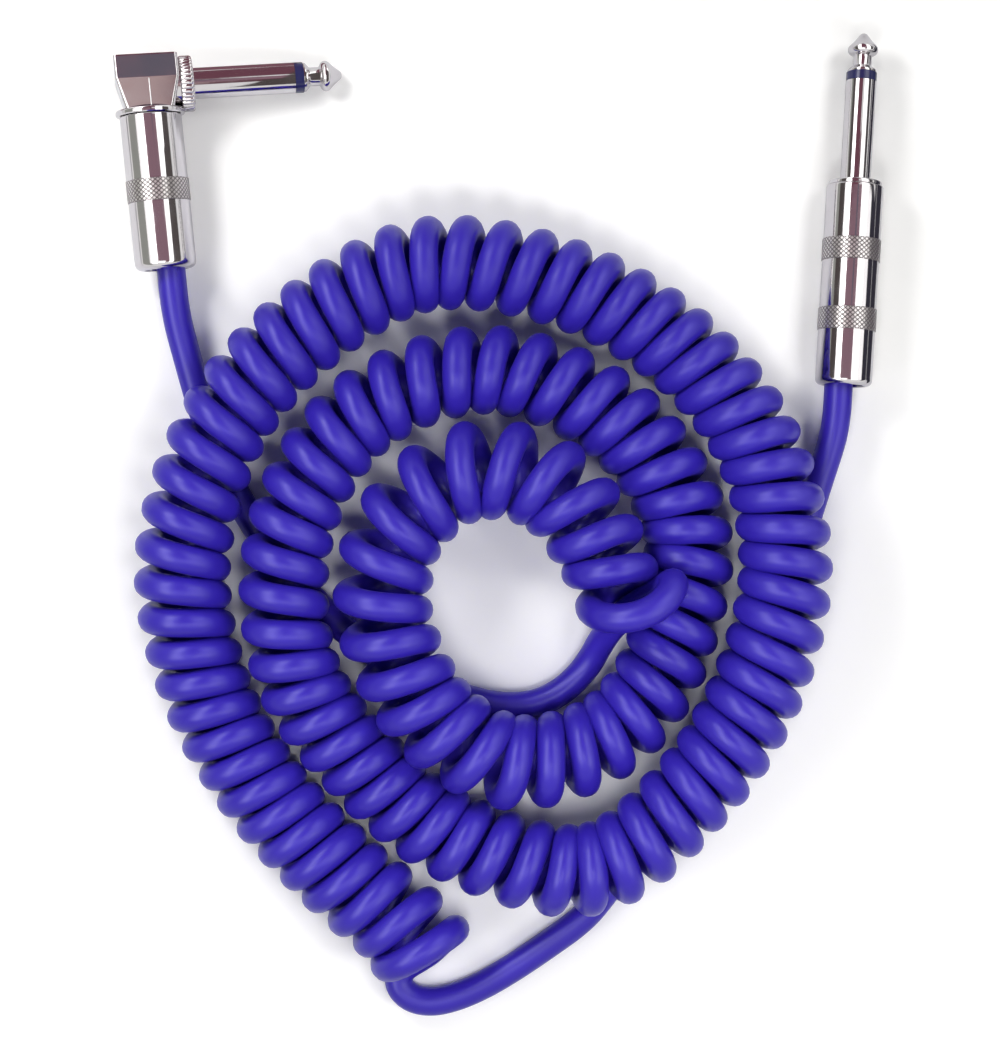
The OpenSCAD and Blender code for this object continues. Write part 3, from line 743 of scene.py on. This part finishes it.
    def build(self) -> bpy.types.Object:
        points = self.line()
        data = bpy.data.curves.new("curly_cord", "CURVE")
        data.dimensions = "3D"
        data.bevel_depth = self.diameter / 2 * MM
        data.bevel_resolution = 7
        data.use_fill_caps = True
        spline = data.splines.new("POLY")
        spline.points.add(len(points) - 1)
        for spot, point in zip(spline.points, points):
            spot.co = (*(point * MM), 1.0)
        spline.use_smooth = True
        cord = bpy.data.objects.new("curly_cord", data)
        bpy.context.scene.collection.objects.link(cord)
        dress(cord, Finish.JACKET)
        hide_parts("cord_curls", "straight_tail", "angle_tail")
        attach(cord, "plugs_and_cord")
        real = sum((b - a).length for a, b in zip(points, points[1:]))
        log.info("cord: %d points, %.0f mm long", len(points), real)
        return cord


# ---------- plugs


@dataclass
class Shaft:
    """The 6.35 mm shaft that both plugs have: bright sleeve, insulating ring and tip."""

    radius: float = 3.175
    sleeve_length: float = 21.0
    ring_length: float = 1.8
    rod_bore: float = 1.25
    tube_bore: float = 1.9

    def tip(self, name: str, pose: Matrix) -> bpy.types.Object:
        """Turn the tip: a groove for the socket's spring, a bulb, a cone and a round nose."""
        r, base = self.radius, self.sleeve_length + self.ring_length
        shape = ([(0, 1.4), (self.rod_bore, 1.4), (self.rod_bore, 0), (r - 0.275, 0), (r - 0.19, 0.06),
                  (r - 0.175, 0.14), (r - 0.175, 0.38), (r - 0.22, 0.52), (r - 0.975, 1.2),
                  (r - 1.16, 1.33), (r - 1.225, 1.5), (r - 1.225, 3.4)]
                 + arc((r - 1.175, 4.75), 1.15, -75, 50, 18)
                 + [(1.9, 6.5), (1.3, 7.25), (0.8, 7.92), (0.62, 8.07), (0.4, 8.16), (0, 8.2)])
        tip = lathe(name, [(x, z + base) for x, z in shape], 72)
        smooth(tip, 30)
        place(tip, pose)
        dress(tip, Finish.NICKEL)
        return tip

    def ring(self, name: str, pose: Matrix) -> bpy.types.Object:
        """Turn the insulating ring between tip and sleeve."""
        low, high, r = self.sleeve_length + 0.02, self.sleeve_length + self.ring_length - 0.02, self.radius
        ring = lathe(name, [(self.rod_bore, low), (r - 0.05, low), (r - 0.01, low + 0.05),
                            (r - 0.01, high - 0.05), (r - 0.05, high), (self.rod_bore, high)], 72)
        smooth(ring, 30)
        place(ring, pose)
        dress(ring, Finish.INSULATOR)
        return ring


@dataclass
class Thread:
    """Screw thread, drawn as close rings on the piece that a barrel screws on."""

    pitch: float = 0.75
    depth: float = 0.3

    def outline(self, radius: float, top: float, bottom: float) -> Outline:
        """Crests and roots of the thread.

        Args:
            radius: its outer radius.
            top: height where it starts.
            bottom: height where it ends, lower than the top.

        Returns:
            Points from the top down.
        """
        made: Outline = []
        turns = int((top - bottom) / self.pitch)
        for i in range(turns):
            z = top - i * self.pitch
            made += [(radius - self.depth, z), (radius, z - 0.28 * self.pitch),
                     (radius, z - 0.45 * self.pitch), (radius - self.depth, z - 0.75 * self.pitch)]
        return made + [(radius - self.depth, bottom)]


@dataclass
class Barrel:
    """Screw-on barrel: a turned tube with a round end and knurled bands."""

    name: str
    node: str  # also the name of the body that turns with it
    front: float
    length: float
    radius: float
    mouth_radius: float
    mouth_length: float
    bore_radius: float
    round_radius: float
    bands: tuple[tuple[float, float], ...]
    exit_radius: float = 4.4
    end_wall: float = 1.3
    knurl_height: float = 0.15
    columns: int = 36
    rows: int = 5

    def knurl(self, band: tuple[float, float]) -> bpy.types.Object:
        """Roll one knurled band: a ring whose outside is cut into diamonds.

        Args:
            band: where it starts and ends behind the barrel's mouth.

        Returns:
            The ring, on the barrel's own axis.
        """
        skin = 0.015  # the grooves' floor stands this proud of the tube
        root = self.radius + skin
        top, bottom = -band[0], -band[1]
        step = (top - bottom) / self.rows
        inner = self.radius - 0.3
        outline = [(inner, top), (root, top)] + [(root, top - k * step) for k in range(1, self.rows + 1)]
        ring = lathe(f"{self.name}_knurl", outline + [(inner, bottom)], self.columns)
        edge = (root - 0.02) * MM

        def beyond(face: bpy.types.MeshPolygon, radius: float) -> bool:
            """Whether all of a face lies outside a radius."""
            return all(math.hypot(*ring.data.vertices[k].co.xy) > radius for k in face.vertices)

        pick(ring, "polygons", lambda face: beyond(face, edge))
        edit(ring)
        bpy.ops.mesh.poke()
        leave_edit()
        slack = 0.1 * step * MM

        def old_edge(a: Vector, b: Vector) -> bool:
            """Whether an edge was there before the faces were poked, and not on the ring's rim."""
            if min(math.hypot(a.x, a.y), math.hypot(b.x, b.y)) < edge - 0.02 * MM:
                return False
            rim = any(abs(a.z - z * MM) < slack and abs(b.z - z * MM) < slack for z in (top, bottom))
            flat = abs(a.z - b.z) < slack
            upright = abs(a.x - b.x) < slack and abs(a.y - b.y) < slack
            return (flat or upright) and not rim

        pick(ring, "edges", old_edge)
        edit(ring)
        bpy.ops.mesh.dissolve_edges(use_verts=False)
        leave_edit()
        pick(ring, "polygons", lambda face: beyond(face, (root - 0.06) * MM))
        edit(ring)
        bpy.ops.mesh.inset(thickness=0.1 * MM, depth=(self.knurl_height - skin) * MM, use_individual=True)
        leave_edit()
        crest = (root + 0.5 * self.knurl_height) * MM
        dress(ring, Finish.NICKEL, Finish.KNURL, Finish.GROOVE)
        # faces below the crests take the groove finish, whose dark colour is painted shade
        for face in ring.data.polygons:
            face.material_index = 1 if math.hypot(*face.center.xy) > crest else 2
        return ring

    def build(self, pose: Matrix) -> bpy.types.Object:
        """Turn the barrel, roll its bands and set it in place.

        Args:
            pose: from the plug's axis to the frame.

        Returns:
            The barrel.
        """
        r, l, b = self.radius, self.length, self.bore_radius
        x, e = self.exit_radius, self.end_wall
        outline = ([(self.mouth_radius + 0.2, 0), (r - 0.3, 0)] + arc((r - 0.25, -0.25), 0.25, 80, 0, 4)
                   + [(r, -0.6), (r, -l + self.round_radius + 0.3)]
                   + arc((r - self.round_radius, -l + self.round_radius), self.round_radius, 0, -88, 14)
                   + [(x + 0.35, -l + 0.01)] + arc((x + 0.3, -l + 0.3), 0.3, -90, -180, 4)
                   + [(x, -l + e), (b, -l + e), (b, -self.mouth_length),
                      (self.mouth_radius, -self.mouth_length + 0.1), (self.mouth_radius, -0.2)])
        tube = lathe(self.name, outline, 128)
        smooth(tube, 32)
        dress(tube, Finish.NICKEL, Finish.KNURL, Finish.GROOVE)
        barrel = join([tube, *[self.knurl(band) for band in self.bands]])
        place(barrel, pose @ Matrix.Translation((0, 0, self.front * MM)))
        seat(barrel, self.node, self.node)
        return barrel


@dataclass
class StraightPlug:
    """The straight plug: shaft, shoulder and threaded body, and a long barrel."""

    shaft: Shaft = field(default_factory=Shaft)
    thread: Thread = field(default_factory=Thread)
    shoulder_radius: float = 5.5
    shoulder_thickness: float = 1.0
    body_radius: float = 5.05
    body_end: float = -8.0
    boss_end: float = -9.0

    def sleeve(self) -> bpy.types.Object:
        """Turn the bright sleeve with its shoulder and threaded body, in one piece."""
        s, r, t = self.shaft, self.shoulder_radius, self.shoulder_thickness
        outline = ([(s.tube_bore, s.sleeve_length), (s.radius - 0.06, s.sleeve_length),
                    (s.radius, s.sleeve_length - 0.06), (s.radius, 0.25)]
                   + arc((s.radius + 0.25, 0.25), 0.25, 180, 270, 4)
                   + arc((r - 0.4, -0.4), 0.4, 90, 0, 6)
                   + [(r, -t + 0.15), (r - 0.15, -t), (self.body_radius - 0.3, -t),
                      (self.body_radius - 0.3, -t - 0.5)]
                   + self.thread.outline(self.body_radius, -t - 0.5, self.body_end + 0.3)
                   + [(self.body_radius - 0.4, self.body_end), (3.6, self.body_end), (3.6, self.boss_end),
                      (s.tube_bore, self.boss_end)])
        sleeve = lathe("straight_bright_sleeve", outline, 96)
        smooth(sleeve, 30)
        place(sleeve, STRAIGHT_POSE)
        dress(sleeve, Finish.NICKEL)
        return sleeve

    def build(self) -> None:
        """Make the plug's visible pieces."""
        made = {
            "straight_tip": (self.shaft.tip("straight_turned_tip", STRAIGHT_POSE), "nickel"),
            "straight_tip_ring": (self.shaft.ring("straight_insulating_ring", STRAIGHT_POSE), "insulator"),
            "straight_sleeve": (self.sleeve(), "nickel"),
        }
        for node, (piece, slot) in made.items():
            seat(piece, node)
        Barrel("straight_knurled_barrel", "straight_barrel", front=-1.05, length=41.65, radius=5.9,
               mouth_radius=5.13, mouth_length=7.6, bore_radius=5.2, round_radius=1.2,
               bands=((11.15, 15.75), (25.55, 30.25))).build(STRAIGHT_POSE)


@dataclass
class AnglePlug:
    """The right-angle plug: shaft, milled collar nut, square head and a barrel."""

    shaft: Shaft = field(default_factory=Shaft)
    thread: Thread = field(default_factory=Thread)
    head_width: float = 12.9
    head_top: float = 5.6
    head_low: float = 0.8
    taper_end: float = -4.9
    flange_radius: float = 7.1
    flange_end: float = -6.1
    neck_radius: float = 5.45
    neck_end: float = -13.0
    chamber_radius: float = 3.9
    spigot_radius: float = 3.375
    spigot_length: float = 6.0
    boss_radius: float = 4.575
    boss_end: float = 7.2
    nut_radius: float = 5.7
    nut_thickness: float = 2.2
    grooves: int = 36

    def sleeve(self) -> bpy.types.Object:
        """Turn the bright sleeve and the spigot that is pressed into the head."""
        s = self.shaft
        outline = [(s.tube_bore, s.sleeve_length), (s.radius - 0.06, s.sleeve_length),
                   (s.radius, s.sleeve_length - 0.06), (s.radius, 0), (self.spigot_radius, 0),
                   (self.spigot_radius, -self.spigot_length), (s.tube_bore, -self.spigot_length)]
        sleeve = lathe("angle_bright_sleeve", outline, 96)
        smooth(sleeve, 30)
        place(sleeve, ANGLE_SHAFT_POSE)
        dress(sleeve, Finish.NICKEL)
        return sleeve

    def nut(self) -> bpy.types.Object:
        """Turn the collar nut and mill its edge into rounded ridges."""
        r, t, bore = self.nut_radius, self.nut_thickness, self.spigot_radius + 0.05
        skirt = self.boss_radius + 0.04
        outline = ([(bore, -t + 0.05), (skirt, -t + 0.05), (skirt, -t - 0.6), (r - 0.3, -t - 0.6), (r, -t - 0.3)]
                   + arc((r - 0.6, -0.6), 0.6, 0, 90, 6) + [(bore + 0.2, 0), (bore, -0.2)])
        nut = lathe("angle_milled_nut", outline, self.grooves * 4)
        slot = 2 * math.pi / self.grooves

        def in_groove(co: Vector, reach: float) -> bool:
            """Whether a point of the rim lies within a reach of a groove's middle, in grooves."""
            off = abs((math.atan2(co.y, co.x) / slot + 0.5) % 1 - 0.5)
            return math.hypot(co.x, co.y) > (r - 0.65) * MM and off < reach

        for reach, depth in ((0.3, 0.05), (0.06, 0.22)):
            pick(nut, "vertices", lambda co, reach=reach: in_groove(co, reach))
            edit(nut)
            bpy.ops.transform.resize(value=(1 - depth / r, 1 - depth / r, 1), center_override=(0, 0, 0))
            leave_edit()
        smooth(nut, 50)
        place(nut, ANGLE_SHAFT_POSE)
        dress(nut, Finish.NICKEL)
        return nut

    @staticmethod
    def square_ring(width: float, corner: float, z: float) -> bpy.types.Object:
        """A flat square outline with round corners.

        Args:
            width: across its flats.
            corner: radius of its corners.
            z: its height.

        Returns:
            The outline, an object with one face.
        """
        bpy.ops.object.select_all(action="DESELECT")
        bpy.ops.mesh.primitive_plane_add(size=width * MM, location=(0, 0, z * MM))
        ring = bpy.context.object
        bpy.ops.object.transform_apply(location=True, rotation=True, scale=True)
        bpy.context.tool_settings.mesh_select_mode = (True, False, False)
        edit(ring)
        bpy.ops.mesh.select_all(action="SELECT")
        bpy.ops.mesh.bevel(offset=corner * MM, offset_type="OFFSET", segments=6, affect="VERTICES")
        bpy.ops.mesh.select_all(action="SELECT")
        bpy.ops.mesh.delete(type="ONLY_FACE")
        leave_edit()
        return ring

    def block(self) -> bpy.types.Object:
        """The head's square block with its soft top edge and its taper to the flange."""
        w = self.head_width
        rings = [self.square_ring(width, corner, z) for width, corner, z in (
            (w - 0.7, 0.5, self.head_top), (w - 0.25, 0.55, self.head_top - 0.08),
            (w, 0.6, self.head_top - 0.35), (w, 0.6, self.head_low + 0.12),
            (w - 0.06, 0.6, self.head_low - 0.06), (w - 2.7, 0.9, self.taper_end))]
        block = join(rings)
        block.name = "angle_square_head"
        bpy.context.tool_settings.mesh_select_mode = (False, True, False)
        edit(block)
        bpy.ops.mesh.select_all(action="SELECT")
        bpy.ops.mesh.bridge_edge_loops()
        bpy.ops.mesh.select_all(action="DESELECT")
        leave_edit()
        for z in (self.head_top, self.taper_end):
            pick(block, "edges", lambda a, b, z=z: abs(a.z - z * MM) < 1e-6 and abs(b.z - z * MM) < 1e-6)
            edit(block)
            bpy.ops.mesh.edge_face_add()
            leave_edit()
        close_up(block)
        return block

    def head(self) -> bpy.types.Object:
        """Cast the head: block, taper, flange, threaded neck and the boss for the shaft."""
        block = self.block()
        f, n, across = self.flange_radius, self.neck_radius, turn("X", 90) @ turn("Y", 90)
        flange = lathe("flange", [(0, self.flange_end), (f - 0.2, self.flange_end), (f, self.flange_end + 0.2)]
                       + arc((f - 0.5, self.taper_end - 0.5), 0.5, 0, 90, 6)
                       + [(4.5, self.taper_end + 0.05), (0, self.taper_end + 0.05)], 96)
        neck = lathe("neck", [(0, self.flange_end + 0.1), (n - 0.3, self.flange_end + 0.1)]
                     + self.thread.outline(n, self.flange_end - 0.4, self.neck_end + 0.3)
                     + [(n - 0.5, self.neck_end), (0, self.neck_end)], 96)
        boss = lathe("boss", [(0, 0), (self.boss_radius, 0), (self.boss_radius, self.boss_end),
                              (0, self.boss_end)], 64)
        place(boss, across)
        for part in (flange, neck, boss):
            apply(block, "BOOLEAN", "add", operation="UNION", object=part, solver="EXACT")
            bpy.data.objects.remove(part)
        chamber = lathe("chamber", [(0, self.neck_end - 1), (self.chamber_radius, self.neck_end - 1),
                                    (self.chamber_radius, 2.5), (0, 2.5)], 64)
        bore = lathe("bore", [(0, -0.4), (self.spigot_radius + 0.05, -0.4),
                              (self.spigot_radius + 0.05, self.boss_end + 1), (0, self.boss_end + 1)], 64)
        place(bore, across)
        for part in (chamber, bore):
            apply(block, "BOOLEAN", "cut", operation="DIFFERENCE", object=part, solver="EXACT")
            bpy.data.objects.remove(part)
        # the mould's parting line, a thin bead down the middle of the taper
        line = lathe("parting_line", [(0, 0), (0.15, 0.02), (0.15, 5.7), (0, 5.7)], 16)
        place(line, Matrix.Translation(Vector((0.3, -5.08, -4.95)) * MM) @ turn("X", 13.15))
        block = join([block, line])
        smooth(block, 28)
        apply(block, "WEIGHTED_NORMAL", "flat_faces", weight=100, keep_sharp=True)
        place(block, ANGLE_BARREL_POSE)
        dress(block, Finish.NICKEL)
        return block

    def build(self) -> None:
        """Make the plug's visible pieces."""
        made = {
            "angle_tip": (self.shaft.tip("angle_turned_tip", ANGLE_SHAFT_POSE), "nickel"),
            "angle_tip_ring": (self.shaft.ring("angle_insulating_ring", ANGLE_SHAFT_POSE), "insulator"),
            "angle_sleeve": (self.sleeve(), "nickel"),
            "angle_collar_nut": (self.nut(), "nickel"),
            "angle_head": (self.head(), "nickel"),
        }
        for node, (piece, slot) in made.items():
            seat(piece, node)
        Barrel("angle_knurled_barrel", "angle_barrel", front=-6.15, length=31.65, radius=6.35,
               mouth_radius=5.53, mouth_length=7.5, bore_radius=5.6, round_radius=1.5,
               bands=((13.15, 17.75),), columns=38).build(ANGLE_BARREL_POSE)


@dataclass
class InnerFittings:
    """What the barrels hide: rods, tubes, washers, lugs, clamps, liners and wires."""

    finishes: dict[str, Finish] = field(default_factory=lambda: {
        "inner_tube": Finish.INSULATOR, "tip_rod": Finish.BRASS, "rear_washer": Finish.FIBRE,
        "tip_lug": Finish.BRASS, "cable_clamp": Finish.STAMPED, "insulating_liner": Finish.LINER,
        "core_wire": Finish.CORE, "screen_wire": Finish.SCREEN})

    def build(self) -> None:
        """Dress the carried-over pieces of both plugs."""
        for plug in ("straight", "angle"):
            for kind, finish in self.finishes.items():
                dress(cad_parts[f"{plug}_{kind}"], finish)
                log.info("%s_%s: %s", plug, kind, finish.value.name)


def main() -> None:
    """Build the scene in order: camera, cord, plugs, inner fittings, floor and light."""
    logging.basicConfig(level=logging.INFO, format="%(name)s: %(message)s")
    studio = Studio()
    studio.camera()
    CurlyCord().build()
    StraightPlug().build()
    AnglePlug().build()
    InnerFittings().build()
    studio.build()


if __name__ == "__main__":
    main()
